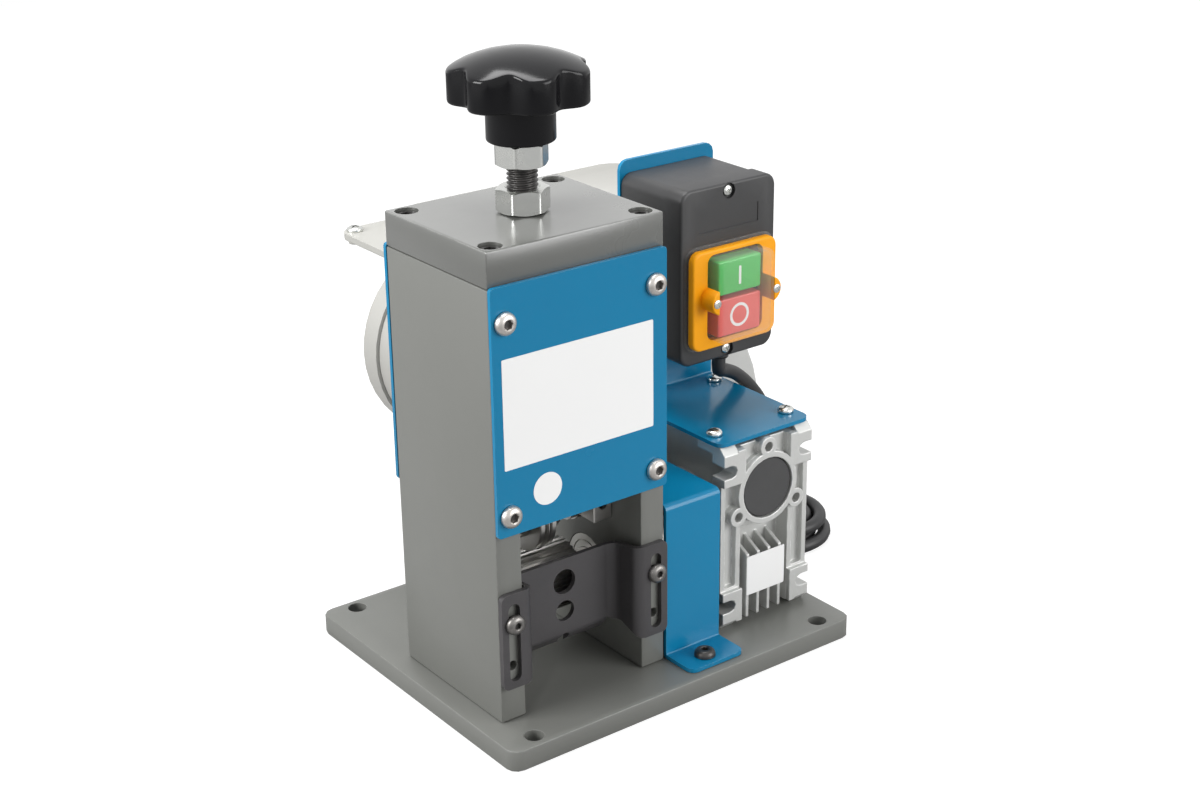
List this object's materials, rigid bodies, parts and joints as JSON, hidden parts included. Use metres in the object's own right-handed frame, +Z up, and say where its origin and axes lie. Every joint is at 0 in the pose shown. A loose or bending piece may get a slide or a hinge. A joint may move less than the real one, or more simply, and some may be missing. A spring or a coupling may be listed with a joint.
{
  "type": "cable stripping machine",
  "caption": "Bench machine that strips cable: a hand-set round blade over a driven knurled roller, with a worm gear motor, a push-button switch box and a mains cord.",
  "frame": {"origin": "centre of the base plate's underside", "axes": "+X to the right of the front, where the gear motor stands, +Y to the back, +Z up"},
  "size_m": [0.2835, 0.318, 0.3064],
  "materials": {
    "grey_paint": "satin grey paint on steel",
    "blue_paint": "glossy blue paint on sheet steel",
    "bright_steel": "machined steel",
    "zinc_plate": "zinc plated",
    "blackened_steel": "blackened",
    "dark_sheet": "dark blackened sheet steel",
    "bronze": "cast bronze",
    "cast_aluminium": "die cast",
    "motor_aluminium": "pale grey painted casting",
    "pale_plastic": "pale grey",
    "black_plastic": "black, slightly grained",
    "orange_plastic": "orange",
    "green_plastic": "green",
    "red_plastic": "red",
    "clear_plastic": "clear soft plastic",
    "black_rubber": "black"
  },
  "bodies": {
    "machine": {"base_plate": "grey_paint", "left_side_plate": "grey_paint", "right_side_plate": "grey_paint", "top_plate": "grey_paint", "front_cover": "blue_paint", "rear_cover": "blue_paint", "top_lock_nut": "zinc_plate", "cover_screw_1": "bright_steel", "cover_screw_2": "bright_steel", "cover_screw_3": "bright_steel", "cover_screw_4": "bright_steel", "guide_screw_left": "blackened_steel", "guide_screw_right": "blackened_steel", "lower_bearing_left": "bright_steel", "lower_bearing_right": "bright_steel", "coupling_guard": "blue_paint", "guard_screw": "blackened_steel", "gear_housing": "cast_aluminium", "gear_side_cover": "cast_aluminium", "worm_end_cap": "black_plastic", "input_flange": "cast_aluminium", "motor_front_shield": "motor_aluminium", "motor_shell": "motor_aluminium", "motor_rear_shield": "motor_aluminium", "capacitor_box": "pale_plastic", "capacitor_lid": "pale_plastic", "switch_bracket": "blue_paint", "bracket_screw_1": "zinc_plate", "bracket_screw_2": "zinc_plate", "bracket_screw_3": "zinc_plate", "bracket_screw_4": "zinc_plate", "switch_base": "black_plastic", "switch_lid": "black_plastic", "switch_bezel": "orange_plastic", "switch_hood": "clear_plastic", "cord_gland": "black_rubber", "mains_cord": "black_rubber", "cord_hank": "black_rubber", "mains_plug": "black_rubber"},
    "knob_and_screw": {"pressure_screw": "blackened_steel", "knob": "black_plastic", "jam_nut": "zinc_plate"},
    "carriage": {"carriage_crossbar": "bright_steel", "carriage_cheek_left": "bright_steel", "carriage_cheek_right": "bright_steel", "blade_shaft": "bright_steel"},
    "blade": {"round_blade": "bright_steel", "blade_disc_left": "bright_steel", "blade_disc_right": "bright_steel"},
    "feed": {"feed_roller": "bright_steel", "feed_shaft": "bright_steel", "shaft_coupling": "bright_steel", "output_shaft": "bright_steel", "worm_wheel": "bronze"},
    "rotor": {"worm_shaft": "bright_steel", "motor_rotor": "bright_steel", "cooling_fan": "black_plastic"},
    "guide": {"wire_guide": "dark_sheet"},
    "start_button": {"green_button": "green_plastic"},
    "stop_button": {"red_button": "red_plastic"}
  },
  "joints": [
    {"name": "carriage_slide", "type": "slide", "parent": "machine", "child": "carriage", "axis": [0, 0, 1], "range_m": [-0.0007, 0.018]},
    {"name": "knob_turn", "type": "hinge", "parent": "carriage", "child": "knob_and_screw", "pos_m": [-0.0451, -0.02075, 0.2663], "axis": [0, 0, 1], "range_deg": [-130, 3245]},
    {"name": "blade_spin", "type": "hinge", "parent": "carriage", "child": "blade", "pos_m": [-0.0451, -0.0173, 0.0864], "axis": [1, 0, 0], "continuous": true},
    {"name": "worm_spin", "type": "hinge", "parent": "machine", "child": "rotor", "pos_m": [0.0698, -0.0173, 0.0808], "axis": [0, 1, 0], "continuous": true},
    {"name": "feed_spin", "type": "hinge", "parent": "machine", "child": "feed", "pos_m": [-0.0451, -0.0173, 0.0508], "axis": [1, 0, 0], "continuous": true},
    {"name": "guide_slide", "type": "slide", "parent": "machine", "child": "guide", "axis": [0, 0, 1], "range_m": [-0.0065, 0.026]},
    {"name": "green_press", "type": "slide", "parent": "machine", "child": "start_button", "axis": [0, 1, 0], "range_m": [0, 0.003], "stiffness_N_per_m": 600, "springref_m": -0.001},
    {"name": "red_press", "type": "slide", "parent": "machine", "child": "stop_button", "axis": [0, 1, 0], "range_m": [0, 0.003], "stiffness_N_per_m": 600, "springref_m": -0.001}
  ],
  "couplings": [
    {"joint": "knob_turn", "follows": "carriage_slide", "rad_per_m": 3141.6},
    {"joint": "feed_spin", "follows": "worm_spin", "ratio": 0.033333}
  ]
}
